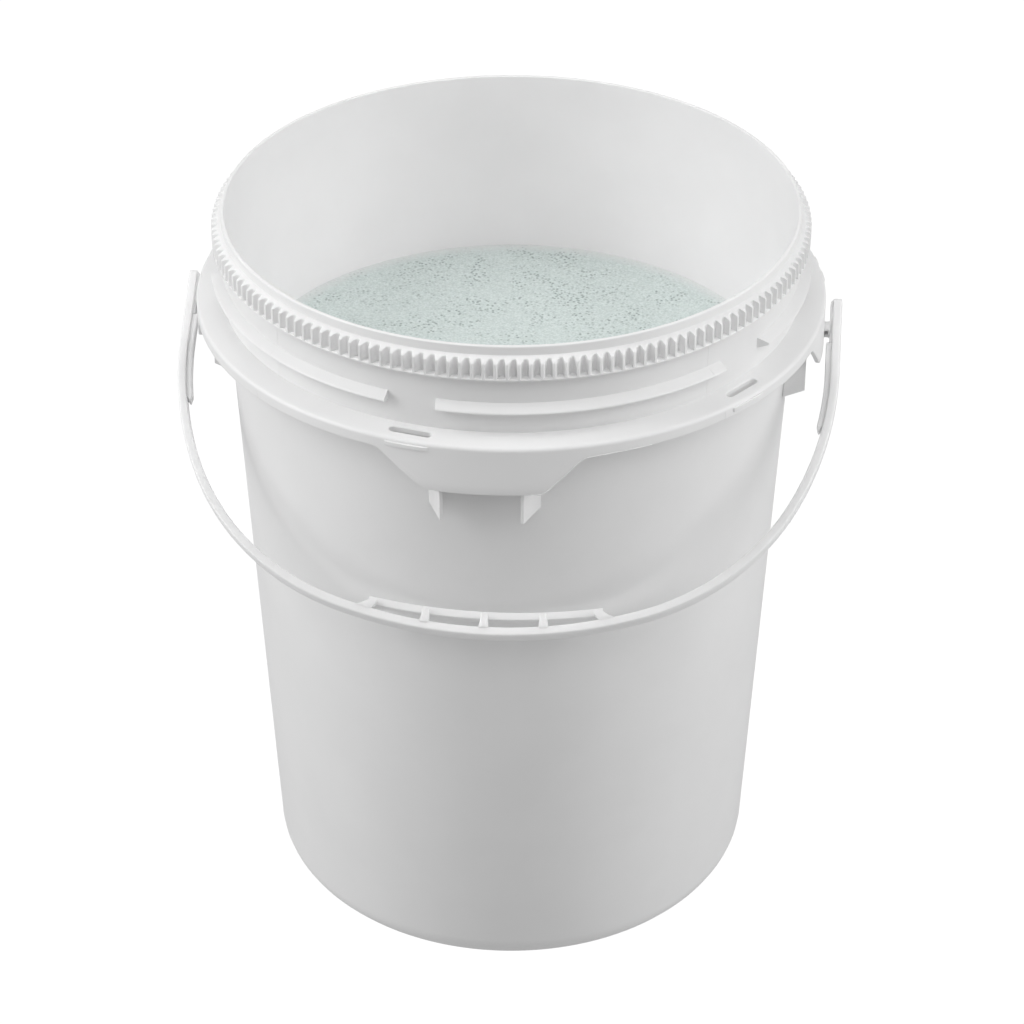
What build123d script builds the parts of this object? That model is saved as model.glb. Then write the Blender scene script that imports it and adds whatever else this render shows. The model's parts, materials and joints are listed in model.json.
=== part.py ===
"""Open 25 litre moulded bucket with a ratchet lip, a bayonet thread, four rim panels and a swinging bail handle.

Z is up, the origin is the centre of the base on the floor, and the front tilt panel faces -Y.
Azimuths are in degrees from the front (-Y), positive towards +X. Depths are measured down from the lip's top edge.
"""
from build123d import *
from math import cos, radians, sin
import os

os.makedirs("parts", exist_ok=True)

# Bucket, mm
height = 408
mouth_radius = 150
mouth_land = 12  # straight length of the mouth, where a lid plugs in
wall_slope = 0.0496  # radius lost per mm of depth
wall_thickness = 3.1
base_thickness = 3.5
foot_radius = 18  # outside corner between wall and base
base_split = 24  # height where the base region hands over to the wall
lip_radius = 152.1
lip_height = 5.4
edge_radius = 0.8
neck_radius = 153
neck_split = 52.5  # depth where the wall hands over to the neck

# Ratchet ring under the lip
ring_radius = 157.3
ring_root_radius = 154
ring_height = 11.6
ring_shoulder = 1.8  # fall of the sloping top from the neck to the teeth
ring_ledge = 1.2
ring_ledge_set = 0.6  # how far the ledge under the teeth stands back from them
tooth_count = 170
tooth_crest = 0.18  # a tooth's flat top, as a share of the pitch
tooth_ramp_end = 0.48  # where its long side meets the root
tooth_rise = 0.93  # where the next tooth's steep side leaves the root

# Bayonet thread
thread_radius = 158.4
thread_top = 31.3
thread_bottom = 37.3
thread_land_top = 34.4
thread_land = 1.0
thread_gaps = [-83, -13.4, 53.8, 97, 166.6, 233.8]
thread_gap_angle = 10

# Collar
collar_radius = 167
collar_top = 48.3
collar_drop = 1.3  # fall of the shelf from neck to edge
collar_bottom = 56.3
collar_thickness = 2.5
collar_rounding = 2.0
slot_azimuths = [-13, 52, 167, 232]
slot_radius = 159.5
slot_width = 4.4
slot_angle = 6.4
ledge_angle = 8
ledge_top = 51.4
ledge_height = 2.4
ledge_stand = 0.8

# Panels below the collar, at the front, right, back and left
panel_bottom = 76.5
panel_thickness = 2.6
panel_low_angle = 9.8
panel_high_angle = 17.8
ear_low_angle = 8.3
ear_high_angle = 15.7
ear_hole_reach = 20
fin_bottom = 95
fin_thickness = 1.8
fin_wall_offset = 26.5
fin_panel_offset = 20.2
fin_panel_radius = 166
fin_wall_reach = 140
ear_fin_radius = 160  # the fins beside the ears stop short of them

# Bail
pivot_depth = 69
rest_angle = 58.3  # from straight down to the hanging bail, towards the front
pin_radius = 4.2
pin_clearance = 0.05
pin_slot = 2.4
pin_slot_reach = 20
pin_barb = 0.9
pin_barb_land = 1.0
pin_gap = 0.4  # between the ear's back and the barb
pin_tip = 3.4
pin_lead = 0.6  # how much the tip is slimmer than the pin
strap_half_width = 176
strap_thickness = 4.8
strap_width = 8.6
strap_head = 17.8
strap_head_rounding = 3.4
strap_straight = 26
shoulder_radius = 182
shoulder_angle = 25.5
bend_radius = 137
bend_angle = 45.4
rib_thickness = 3.0
rib_width = 6.2
rib_start = 9
rib_end = 62
rib_clip = 24  # how far in from the strap the rib can be
pad_thickness = 1.4
pad_set = 1.5  # how far the pad stops short of the head's end
pad_rounding = 1.5
rail_reach = 173.7
rail_radius = 328
rail_half_length = 60.5
rail_thickness = 4.2
rail_top = 4.0  # height of the grip's upper face over the middle of the strap
rail_depth = 5.0
web_thickness = 2.6
web_reach = 8.5
web_rise = 3.0  # where the web's hollow edge leaves the rail's end
web_hollow = (3.0, 1.9)
web_window_set = 1.5  # how far the window stops short of the rail's end
web_window_lean = 3.2  # slant of the window's end
rung_offsets = [-30, 0, 30]
rung_width_rail = 3.8
rung_width_strap = 5.6
rung_thickness = 4.5
rung_ridge = 0.6  # how far the rungs stand over the rail
rung_set = 2.4  # how far they start from the rail's inner edge
rung_bite = 0.5  # how far they are drawn into the strap before it is cut away


def inner_radius(z):
    """Inside of the tapered wall at a height."""
    return mouth_radius - wall_slope * (height - mouth_land - z)


def outer_radius(z):
    """Outside of the tapered wall at a height, carried on past the foot and the neck."""
    return inner_radius(z) + wall_thickness


def export(part, name):
    part.label = name
    export_step(part, f"parts/{name}.step")


# Base: floor and rounded foot, up to the split
with BuildPart() as base:
    with BuildSketch(Plane.XZ) as base_profile:
        with BuildLine():
            Polyline(
                (0, 0),
                (outer_radius(0), 0),
                (outer_radius(base_split), base_split),
                (inner_radius(base_split), base_split),
                (inner_radius(base_thickness), base_thickness),
                (0, base_thickness),
                (0, 0),
            )
        make_face()
        foot_corner = base_profile.vertices().sort_by(Axis.Y).group_by(Axis.Y)[0].sort_by(Axis.X)[-1]
        fillet(foot_corner, foot_radius)
        floor_corner = base_profile.vertices().filter_by_position(Axis.Y, base_thickness, base_thickness)
        fillet(floor_corner.sort_by(Axis.X)[-1], foot_radius - wall_thickness)
    revolve(axis=Axis.Z)
export(base.part, "base")

# Wall: plain taper from the base to the neck
neck_z = height - neck_split
with BuildPart() as wall:
    with BuildSketch(Plane.XZ):
        with BuildLine():
            Polyline(
                (inner_radius(base_split), base_split),
                (outer_radius(base_split), base_split),
                (outer_radius(neck_z), neck_z),
                (inner_radius(neck_z), neck_z),
                (inner_radius(base_split), base_split),
            )
        make_face()
    revolve(axis=Axis.Z)
export(wall.part, "wall")

# Neck: straight outside, tapered inside, and the lip with its rounded rim
land_z = height - mouth_land
lip_z = height - lip_height
with BuildPart() as neck:
    with BuildSketch(Plane.XZ) as neck_profile:
        with BuildLine():
            Polyline(
                (inner_radius(neck_z), neck_z),
                (neck_radius, neck_z),
                (neck_radius, lip_z),
                (lip_radius, lip_z),
                (lip_radius, height),
                (mouth_radius, height),
                (mouth_radius, land_z),
                (inner_radius(neck_z), neck_z),
            )
        make_face()
        fillet(neck_profile.vertices().group_by(Axis.Y)[-1], edge_radius)
    revolve(axis=Axis.Z)
export(neck.part, "neck")

# Ratchet ring: grooves between teeth, open at the sloping top, closed by a thin ledge below
ring_z = lip_z - ring_height
pitch = 360 / tooth_count


def ring_point(radius, turn):
    angle = radians(pitch * turn)
    return (radius * cos(angle), radius * sin(angle))


with BuildPart() as ratchet_ring:
    with BuildSketch(Plane.XY.offset(ring_z)):
        with BuildLine():
            tooth_points = []
            for tooth in range(tooth_count):
                tooth_points.append(ring_point(ring_radius, tooth))
                tooth_points.append(ring_point(ring_radius, tooth + tooth_crest))
                tooth_points.append(ring_point(ring_root_radius, tooth + tooth_ramp_end))
                tooth_points.append(ring_point(ring_root_radius, tooth + tooth_rise))
            Polyline(*tooth_points, close=True)
        make_face()
        Circle(neck_radius, mode=Mode.SUBTRACT)
    extrude(amount=ring_height)
    with BuildSketch(Plane.XY.offset(ring_z)):
        Circle(ring_radius - ring_ledge_set)
        Circle(neck_radius, mode=Mode.SUBTRACT)
    extrude(amount=ring_ledge)
    with BuildSketch(Plane.XZ):
        with BuildLine():
            Polyline(
                (neck_radius, lip_z),
                (ring_radius, lip_z - ring_shoulder),
                (ring_radius + ring_ledge, lip_z - ring_shoulder),
                (ring_radius + ring_ledge, height),
                (neck_radius, height),
                close=True,
            )
        make_face()
    revolve(axis=Axis.Z, mode=Mode.SUBTRACT)
export(ratchet_ring.part, "ratchet_ring")

# Bayonet thread: lugs that slope above and below to a narrow land
with BuildPart() as lid_thread:
    gap_pairs = zip(thread_gaps, thread_gaps[1:] + [thread_gaps[0] + 360])
    for gap, next_gap in gap_pairs:
        start = gap + thread_gap_angle / 2
        span = next_gap - gap - thread_gap_angle
        lug_plane = Plane.XZ.rotated((0, 0, start - 90))
        with BuildSketch(lug_plane):
            with BuildLine():
                Polyline(
                    (neck_radius, height - thread_top),
                    (thread_radius, height - thread_land_top),
                    (thread_radius, height - thread_land_top - thread_land),
                    (neck_radius, height - thread_bottom),
                    close=True,
                )
            make_face()
        revolve(axis=Axis.Z, revolution_arc=span)
export(lid_thread.part, "lid_thread")

# Collar: shelf and skirt, with drain slots and the small ledges under them
shelf_z = height - collar_top
edge_z = shelf_z - collar_drop
skirt_z = height - collar_bottom
with BuildPart() as collar:
    with BuildSketch(Plane.XZ) as collar_profile:
        with BuildLine():
            Polyline(
                (neck_radius, shelf_z),
                (collar_radius, edge_z),
                (collar_radius, skirt_z),
                (collar_radius - collar_thickness, skirt_z),
                (collar_radius - collar_thickness, edge_z - collar_thickness),
                (neck_radius, shelf_z - collar_thickness),
                close=True,
            )
        make_face()
        shelf_corner = collar_profile.vertices().filter_by_position(Axis.Y, edge_z - 0.01, edge_z + 0.01)
        fillet(shelf_corner, collar_rounding)
    revolve(axis=Axis.Z)
    for azimuth in slot_azimuths:
        with BuildSketch(Plane.XY.offset(skirt_z)):
            SlotArc(
                CenterArc((0, 0), slot_radius, azimuth - 90 - slot_angle / 2, slot_angle),
                slot_width,
            )
        extrude(amount=collar_bottom, mode=Mode.SUBTRACT)
        ledge_plane = Plane.XZ.rotated((0, 0, azimuth - 90 - ledge_angle / 2))
        with BuildSketch(ledge_plane):
            with BuildLine():
                Polyline(
                    (collar_radius - 1, height - ledge_top),
                    (collar_radius + ledge_stand, height - ledge_top),
                    (collar_radius + ledge_stand, height - ledge_top - ledge_height),
                    (collar_radius - 1, height - ledge_top - ledge_height),
                    close=True,
                )
            make_face()
        revolve(axis=Axis.Z, revolution_arc=ledge_angle)
export(collar.part, "collar")

# Panels and fins, made at the front and turned to each side
panel_z = height - panel_bottom
fin_z = height - fin_bottom
pivot_z = height - pivot_depth


def panel_solid(azimuth, pivot_hole):
    """Trapezoid hanging from the skirt, its face on the collar's circle."""
    low_angle, high_angle = (ear_low_angle, ear_high_angle) if pivot_hole else (panel_low_angle, panel_high_angle)
    low = collar_radius * sin(radians(low_angle))
    high = collar_radius * sin(radians(high_angle))
    with BuildPart() as panel:
        with BuildSketch(Plane.XY.offset(panel_z)):
            Circle(collar_radius)
            Circle(collar_radius - panel_thickness, mode=Mode.SUBTRACT)
        extrude(amount=skirt_z - panel_z)
        with BuildSketch(Plane.XZ):
            with BuildLine():
                Polyline((-low, panel_z), (low, panel_z), (high, skirt_z), (-high, skirt_z), close=True)
            make_face()
        extrude(amount=2 * collar_radius, mode=Mode.INTERSECT)
        if pivot_hole:
            with Locations(Plane.XZ.offset(collar_radius + 5)):
                with Locations((0, pivot_z)):
                    Hole(pin_radius + pin_clearance, depth=ear_hole_reach)
    return Rot(0, 0, azimuth) * panel.part


def fins_solid(azimuth, reach):
    """Two upright webs that draw together from the wall towards the back of the panel."""
    with BuildPart() as fins:
        with BuildSketch(Plane.XY.offset(fin_z)):
            with BuildLine():
                spine = Line((fin_wall_offset, -fin_wall_reach), (fin_panel_offset, -fin_panel_radius))
                offset(spine, amount=fin_thickness / 2, side=Side.BOTH)
            make_face()
            mirror(about=Plane.YZ)
        extrude(amount=neck_z - fin_z)
        Cylinder(
            reach,
            height,
            align=(Align.CENTER, Align.CENTER, Align.MIN),
            mode=Mode.INTERSECT,
        )
        Cone(
            outer_radius(0),
            outer_radius(height),
            height,
            align=(Align.CENTER, Align.CENTER, Align.MIN),
            mode=Mode.SUBTRACT,
        )
    return Rot(0, 0, azimuth) * fins.part


for side, azimuth, pivot_hole in (("front", 0, False), ("right", 90, True), ("back", 180, False), ("left", 270, True)):
    kind = "ear" if pivot_hole else "tilt_panel"
    export(panel_solid(azimuth, pivot_hole), f"{kind}_{side}")
    reach = ear_fin_radius if pivot_hole else collar_radius - panel_thickness
    export(fins_solid(azimuth, reach), f"fins_{side}")

# Bail: drawn in its own plane, X across and Y from the pivot axis out to the grip
tilt = radians(rest_angle)
bail_plane = Plane(origin=(0, 0, pivot_z), x_dir=(-1, 0, 0), z_dir=(0, -cos(tilt), sin(tilt)))
shoulder_turn = radians(shoulder_angle)
bend_turn = radians(shoulder_angle + bend_angle)
bend_end = strap_half_width
bend_end -= shoulder_radius * (1 - cos(shoulder_turn))
bend_end -= bend_radius * (cos(shoulder_turn) - cos(bend_turn))
crown_radius = bend_end / cos(bend_turn)
strap_reach = strap_straight
strap_reach += shoulder_radius * sin(shoulder_turn)
strap_reach += bend_radius * (sin(bend_turn) - sin(shoulder_turn))
strap_reach += crown_radius * (1 - sin(bend_turn))


def half_edge(inset, start):
    """One side of the strap's outline, moved in from the outer face, as tangent arcs that end on the centre line."""
    arm = Line((strap_half_width - inset, start), (strap_half_width - inset, strap_straight))
    shoulder = JernArc(arm @ 1, arm % 1, shoulder_radius - inset, shoulder_angle)
    bend = JernArc(shoulder @ 1, shoulder % 1, bend_radius - inset, bend_angle)
    crown = JernArc(bend @ 1, bend % 1, crown_radius - inset, 90 - shoulder_angle - bend_angle)
    return crown @ 1


with BuildPart() as strap:
    with BuildSketch(bail_plane):
        with BuildLine():
            outer_end = half_edge(0, -strap_head)
            inner_end = half_edge(strap_thickness, -strap_head)
            Line(outer_end, inner_end)
            Line((strap_half_width, -strap_head), (strap_half_width - strap_thickness, -strap_head))
        make_face()
        mirror(about=Plane.YZ)
    extrude(amount=strap_width / 2, both=True)
    fillet(strap.edges().filter_by(Axis.X), strap_head_rounding)
export(strap.part, "bail_strap")


def rail_y(x, radius):
    """Reach of an arc that shares the grip rail's centre."""
    return rail_reach - rail_radius + (radius**2 - x**2) ** 0.5


def strap_y(x):
    """Reach of the middle of the strap along its crown."""
    return strap_reach - crown_radius + ((crown_radius - strap_thickness / 2) ** 2 - x**2) ** 0.5


# Grip: inner rail, end webs and rungs between it and the strap
rail_outer = rail_radius + rail_thickness
rail_middle = rail_radius + rail_thickness / 2
with BuildPart() as grip_rail:
    with BuildSketch(bail_plane.offset(rail_top - rail_depth)):
        with BuildLine():
            inner_start = (-rail_half_length, rail_y(rail_half_length, rail_radius))
            inner_stop = (rail_half_length, rail_y(rail_half_length, rail_radius))
            outer_start = (-rail_half_length, rail_y(rail_half_length, rail_outer))
            outer_stop = (rail_half_length, rail_y(rail_half_length, rail_outer))
            ThreePointArc(inner_start, (0, rail_reach), inner_stop)
            ThreePointArc(outer_start, (0, rail_reach + rail_thickness), outer_stop)
            Line(inner_start, outer_start)
            Line(inner_stop, outer_stop)
        make_face()
    extrude(amount=rail_depth)
export(grip_rail.part, "grip_rail")

web_plane = bail_plane.offset(rail_top - web_thickness)
window_end = rail_half_length - web_window_set
window_top = window_end - web_window_lean
web_tip = rail_half_length + web_reach
with BuildPart() as grip_webs:
    with BuildSketch(web_plane):
        with BuildLine():
            corner = (rail_half_length, rail_y(rail_half_length, rail_radius + web_rise))
            hollow = (corner[0] + web_hollow[0], corner[1] + web_hollow[1])
            ThreePointArc(corner, hollow, (web_tip, strap_y(web_tip)))
            Polyline(
                (web_tip, strap_y(web_tip)),
                (window_end, strap_y(window_end)),
                (window_top, rail_y(window_top, rail_outer)),
                (window_top, rail_y(window_top, rail_middle)),
                corner,
            )
        make_face()
        mirror(about=Plane.YZ)
    extrude(amount=web_thickness)
    add(strap.part, mode=Mode.SUBTRACT)
    add(grip_rail.part, mode=Mode.SUBTRACT)
export(grip_webs.part, "grip_webs")

rung_plane = bail_plane.offset(rail_top - rung_thickness)
rung_root = rail_reach + rung_set
with BuildPart() as grip_rungs:
    with BuildSketch(rung_plane):
        for rung_x in rung_offsets:
            rung_end = strap_y(rung_x) - strap_thickness / 2 + rung_bite
            with BuildLine():
                Polyline(
                    (rung_x - rung_width_rail / 2, rung_root),
                    (rung_x - rung_width_strap / 2, rung_end),
                    (rung_x + rung_width_strap / 2, rung_end),
                    (rung_x + rung_width_rail / 2, rung_root),
                    close=True,
                )
            make_face()
    extrude(amount=rung_thickness + rung_ridge)
    add(strap.part, mode=Mode.SUBTRACT)
    add(grip_rail.part, mode=Mode.SUBTRACT)
export(grip_rungs.part, "grip_rungs")


# Hinge ends: a thin pad round the pivot and a stiffening rib down each arm, and the split snap pin
def arm_rib_solid():
    """Pad and rib on the inside of the strap, from its head to the first bend."""
    with BuildPart() as arm_rib:
        with BuildSketch(bail_plane):
            with BuildLine():
                near_end = half_edge(strap_thickness, -strap_head)
                far_end = half_edge(strap_thickness + rib_thickness, -strap_head)
                Line(near_end, far_end)
                arm_x = strap_half_width - strap_thickness
                Line((arm_x, -strap_head), (arm_x - rib_thickness, -strap_head))
            make_face()
            with Locations((strap_half_width - rib_clip / 2, rib_start)):
                Rectangle(rib_clip, rib_end - rib_start, align=(Align.CENTER, Align.MIN), mode=Mode.INTERSECT)
        extrude(amount=rib_width / 2, both=True)
        with BuildSketch(bail_plane):
            with Locations((strap_half_width - strap_thickness, rib_start)):
                Rectangle(pad_thickness, rib_start + strap_head - pad_set, align=(Align.MAX, Align.MAX))
        extrude(amount=rib_width / 2, both=True)
        head_edges = arm_rib.edges().filter_by(Axis.X).group_by(Axis.Z)[-1]
        fillet(head_edges, pad_rounding)
    return arm_rib.part


def snap_pin_solid():
    """Round pin from the pad through the ear, with a barb behind it and a slot that lets it squeeze."""
    root_x = strap_half_width - strap_thickness - pad_thickness
    barb_x = collar_radius - panel_thickness - pin_gap
    tip_x = barb_x - pin_tip
    with BuildPart() as snap_pin:
        with BuildSketch(Plane.XZ):
            with BuildLine():
                Polyline(
                    (root_x, pivot_z),
                    (root_x, pivot_z + pin_radius),
                    (barb_x, pivot_z + pin_radius),
                    (barb_x, pivot_z + pin_radius + pin_barb),
                    (barb_x - pin_barb_land, pivot_z + pin_radius + pin_barb),
                    (tip_x, pivot_z + pin_radius - pin_lead),
                    (tip_x, pivot_z),
                    close=True,
                )
            make_face()
        revolve(axis=Axis((0, 0, pivot_z), (1, 0, 0)))
        with BuildSketch(Plane.XZ):
            with Locations((root_x - 1, pivot_z)):
                Rectangle(pin_slot_reach, pin_slot, align=(Align.MAX, Align.CENTER))
        extrude(amount=pin_slot_reach, both=True, mode=Mode.SUBTRACT)
    return snap_pin.part


for name, solid in (("arm_rib", arm_rib_solid()), ("snap_pin", snap_pin_solid())):
    right = solid if solid.center().X > 0 else solid.mirror(Plane.YZ)
    export(right, f"{name}_right")
    export(right.mirror(Plane.YZ), f"{name}_left")
print("strap reach", round(outer_end.Y, 1))
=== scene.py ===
import json
import math
import random

import bmesh
import bpy
import numpy as np
from mathutils import Matrix, Vector


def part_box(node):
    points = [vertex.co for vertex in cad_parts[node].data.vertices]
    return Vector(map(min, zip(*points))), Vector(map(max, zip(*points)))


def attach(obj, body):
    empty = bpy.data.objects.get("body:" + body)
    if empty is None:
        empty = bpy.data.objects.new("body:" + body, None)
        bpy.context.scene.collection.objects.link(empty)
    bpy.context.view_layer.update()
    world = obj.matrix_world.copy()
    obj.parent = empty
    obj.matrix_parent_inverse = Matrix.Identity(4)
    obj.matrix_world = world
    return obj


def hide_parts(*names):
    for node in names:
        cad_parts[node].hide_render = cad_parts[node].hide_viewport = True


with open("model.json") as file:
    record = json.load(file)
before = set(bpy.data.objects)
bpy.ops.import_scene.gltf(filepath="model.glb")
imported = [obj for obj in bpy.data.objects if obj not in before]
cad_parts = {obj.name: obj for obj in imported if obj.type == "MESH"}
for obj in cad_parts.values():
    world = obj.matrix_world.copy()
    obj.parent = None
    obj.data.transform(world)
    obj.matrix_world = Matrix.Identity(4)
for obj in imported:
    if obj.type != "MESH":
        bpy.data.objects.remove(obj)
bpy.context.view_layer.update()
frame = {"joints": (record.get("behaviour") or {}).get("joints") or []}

mm = 0.001  # sizes below are in millimetres, the scene is in metres
weldGap = 2e-6  # metres
segments = 256  # round the bucket
pivotHeight = frame["joints"][0]["pos_m"][2] / mm
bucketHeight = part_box("neck")[1].z / mm
neckRadius = 153.0
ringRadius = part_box("ratchet_ring")[1].x / mm
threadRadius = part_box("lid_thread")[1].x / mm
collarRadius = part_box("collar")[1].x / mm
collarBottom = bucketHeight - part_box("collar")[0].z / mm  # depths are measured down from the top of the lip
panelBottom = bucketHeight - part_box("tilt_panel_front")[0].z / mm
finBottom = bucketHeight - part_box("fins_front")[0].z / mm
print("frame read: height", round(bucketHeight, 1), "pivot", round(pivotHeight, 1))


def addNode(tree, kind, settings=None, links=None):
    node = tree.nodes.new(kind)
    for key, value in (settings or {}).items():
        if isinstance(key, str) and hasattr(node, key):
            setattr(node, key, value)
        else:
            node.inputs[key].default_value = value
    for key, source in (links or {}).items():
        tree.links.new(source, node.inputs[key])
    return node


def hexColour(code):  # sRGB to linear
    channels = [int(code[i:i + 2], 16) / 255 for i in (1, 3, 5)]
    return [c / 12.92 if c <= 0.04045 else ((c + 0.055) / 1.055) ** 2.4 for c in channels] + [1.0]


def perMetre(size):
    return 1000 / size  # texture scale that gives features about this many millimetres across


def startMaterial(name):
    material = bpy.data.materials.new(name)
    material.use_nodes = True
    material.node_tree.nodes.clear()
    return material, material.node_tree


def startTree(name, inputs):
    tree = bpy.data.node_groups.new(name, "GeometryNodeTree")
    tree.interface.new_socket("Geometry", in_out="OUTPUT", socket_type="NodeSocketGeometry")
    tree.interface.new_socket("Geometry", in_out="INPUT", socket_type="NodeSocketGeometry")
    for label, kind in inputs.items():
        tree.interface.new_socket(label, in_out="INPUT", socket_type="NodeSocket" + kind)
    return tree, addNode(tree, "NodeGroupInput").outputs


def endTree(tree, geometry, material):
    real = addNode(tree, "GeometryNodeRealizeInstances", {}, {"Geometry": geometry})
    welded = addNode(tree, "GeometryNodeMergeByDistance", {"Distance": weldGap}, {"Geometry": real.outputs[0]})
    coated = addNode(tree, "GeometryNodeSetMaterial", {}, {"Geometry": welded.outputs[0], "Material": material})
    addNode(tree, "NodeGroupOutput", {}, {0: coated.outputs[0]})


def settleTree(piece, tree, values):
    modifier = piece.modifiers.new(tree.name, "NODES")
    modifier.node_group = tree
    for socket in tree.interface.items_tree:
        if socket.in_out == "INPUT" and socket.name in values:
            modifier[socket.identifier] = values[socket.name]
    result = piece.evaluated_get(bpy.context.evaluated_depsgraph_get())
    mesh = bpy.data.meshes.new_from_object(result)
    piece.modifiers.remove(modifier)
    piece.data = mesh


def meshPiece(name, points, faces=(), edges=()):
    mesh = bpy.data.meshes.new(name)
    mesh.from_pydata([Vector(p) * mm for p in points], edges, faces)
    piece = bpy.data.objects.new(name, mesh)
    bpy.context.scene.collection.objects.link(piece)
    return piece


def tidyMesh(piece, sharpAngle=32):
    shape = bmesh.new()
    shape.from_mesh(piece.data)
    bmesh.ops.remove_doubles(shape, verts=shape.verts, dist=weldGap)
    bmesh.ops.recalc_face_normals(shape, faces=shape.faces)
    shape.to_mesh(piece.data)
    shape.free()
    piece.data.shade_smooth()
    piece.data.set_sharp_from_angle(angle=math.radians(sharpAngle))
    return piece


def applyModifiers(piece):
    result = piece.evaluated_get(bpy.context.evaluated_depsgraph_get())
    mesh = bpy.data.meshes.new_from_object(result)
    piece.modifiers.clear()
    piece.data = mesh
    return piece


def bevelEdges(piece, width, steps=2, angle=30):
    bevel = piece.modifiers.new("edge", "BEVEL")
    bevel.width, bevel.segments = width * mm, steps
    bevel.limit_method, bevel.angle_limit = "ANGLE", math.radians(angle)
    bevel.use_clamp_overlap = True
    return applyModifiers(piece)


def cutAway(piece, cutter):
    cut = piece.modifiers.new("cut", "BOOLEAN")
    cut.operation, cut.solver, cut.object = "DIFFERENCE", "EXACT", cutter
    applyModifiers(piece)
    bpy.data.objects.remove(cutter)
    return piece


def joinPieces(name, pieces):
    shape = bmesh.new()
    for piece in pieces:
        shape.from_mesh(piece.data)
        bpy.data.objects.remove(piece)
    mesh = bpy.data.meshes.new(name)
    shape.to_mesh(mesh)
    shape.free()
    joined = bpy.data.objects.new(name, mesh)
    bpy.context.scene.collection.objects.link(joined)
    return joined


def bridge(rings, closed=False):
    # quads between neighbouring rings of points; closed joins the last ring to the first
    count = len(rings[0])
    faces = []
    for i in range(len(rings) if closed else len(rings) - 1):
        a, b = i * count, (i + 1) % len(rings) * count
        faces += [(a + j, a + (j + 1) % count, b + (j + 1) % count, b + j) for j in range(count)]
    return [p for ring in rings for p in ring], faces


def loft(name, rings, closed=False):
    points, faces = bridge(rings, closed)
    if not closed:
        count = len(rings[0])
        faces += [tuple(range(count))[::-1], tuple(range(len(points) - count, len(points)))]
    return meshPiece(name, points, faces)


def roundCorners(points, steps=5):
    # each point is (x, y) or (x, y, corner radius)
    result = []
    count = len(points)
    for i, point in enumerate(points):
        here = Vector(point[:2])
        if len(point) < 3 or point[2] <= 0:
            result.append(tuple(here))
            continue
        before = (Vector(points[i - 1][:2]) - here).normalized()
        after = (Vector(points[(i + 1) % count][:2]) - here).normalized()
        half = before.angle(after) / 2
        centre = here + (before + after).normalized() * point[2] / math.sin(half)
        start = here + before * point[2] / math.tan(half) - centre
        turn = start.angle_signed(here + after * point[2] / math.tan(half) - centre)
        for k in range(steps + 1):
            result.append(tuple(centre + Matrix.Rotation(-turn * k / steps, 2) @ start))
    return result


def circlePoints(count):
    return [(math.cos(2 * math.pi * k / count), math.sin(2 * math.pi * k / count)) for k in range(count)]


def atAzimuth(radius, azimuth, depth):
    # azimuth in degrees from the front, towards +X
    turn = math.radians(azimuth)
    return (radius * math.sin(turn), -radius * math.cos(turn), bucketHeight - depth)


def finishPiece(piece, body, slotName, material, *nodes):
    piece.data.materials.clear()
    piece.data.materials.append(material)
    for polygon in piece.data.polygons:
        polygon.material_index = 0
    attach(piece, body)
    if nodes:
        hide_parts(*nodes)
    return piece


polypropylene = {
    "light": "#f1f1f1",
    "deep": "#e9e9e9",
    "roughness": (0.36, 0.46),
    "ior": 1.49,
    "specular": 0.4,
    "clouding": 45,  # mm, flow clouding of the pigment
    "drawLine": 1.4,  # mm, faint lines left as the mould core slides out
    "lineBump": 0.12,
    "grain": 0.7,  # mm, the spark-eroded grain is finer, drawn coarser so that it shows
    "grainBump": 0.1,
    "bumpDepth": 0.1,  # mm
    "scatter": 4.0,  # mm that light travels in the unfilled plastic
}


def mouldedPolypropylene(name, drawStretch, scattered):
    # injection-moulded, white-pigmented polypropylene: a waxy satin sheen, even colour, faint draw lines
    material, tree = startMaterial(name)
    where = addNode(tree, "ShaderNodeTexCoord").outputs["Object"]
    clouds = addNode(tree, "ShaderNodeTexNoise",
                     {"Scale": perMetre(polypropylene["clouding"]), "Detail": 3.0}, {"Vector": where})
    tint = addNode(tree, "ShaderNodeMix", {"data_type": "RGBA", 6: hexColour(polypropylene["light"]),
                                           7: hexColour(polypropylene["deep"])}, {0: clouds.outputs[0]})
    stretched = addNode(tree, "ShaderNodeMapping", {"Scale": drawStretch}, {"Vector": where})
    lines = addNode(tree, "ShaderNodeTexNoise", {"Scale": perMetre(polypropylene["drawLine"]), "Detail": 2.0},
                    {"Vector": stretched.outputs[0]})
    smooth, rough = polypropylene["roughness"]
    gloss = addNode(tree, "ShaderNodeMapRange", {3: smooth, 4: rough}, {0: lines.outputs[0]})
    grain = addNode(tree, "ShaderNodeTexNoise",
                    {"Scale": perMetre(polypropylene["grain"]), "Detail": 2.0}, {"Vector": where})
    bumpDepth = polypropylene["bumpDepth"] * mm
    lineBump = addNode(tree, "ShaderNodeBump", {"Strength": polypropylene["lineBump"], "Distance": bumpDepth},
                       {"Height": lines.outputs[0]})
    grainBump = addNode(tree, "ShaderNodeBump", {"Strength": polypropylene["grainBump"], "Distance": bumpDepth},
                        {"Height": grain.outputs[0], "Normal": lineBump.outputs[0]})
    shader = addNode(tree, "ShaderNodeBsdfPrincipled", {
        "IOR": polypropylene["ior"], "Specular IOR Level": polypropylene["specular"],
        "Subsurface Weight": scattered, "Subsurface Radius": (1, 1, 1),
        "Subsurface Scale": polypropylene["scatter"] * mm,
    }, {"Base Color": tint.outputs[2], "Roughness": gloss.outputs[0], "Normal": grainBump.outputs[0]})
    addNode(tree, "ShaderNodeOutputMaterial", {}, {"Surface": shader.outputs[0]})
    return material


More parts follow.
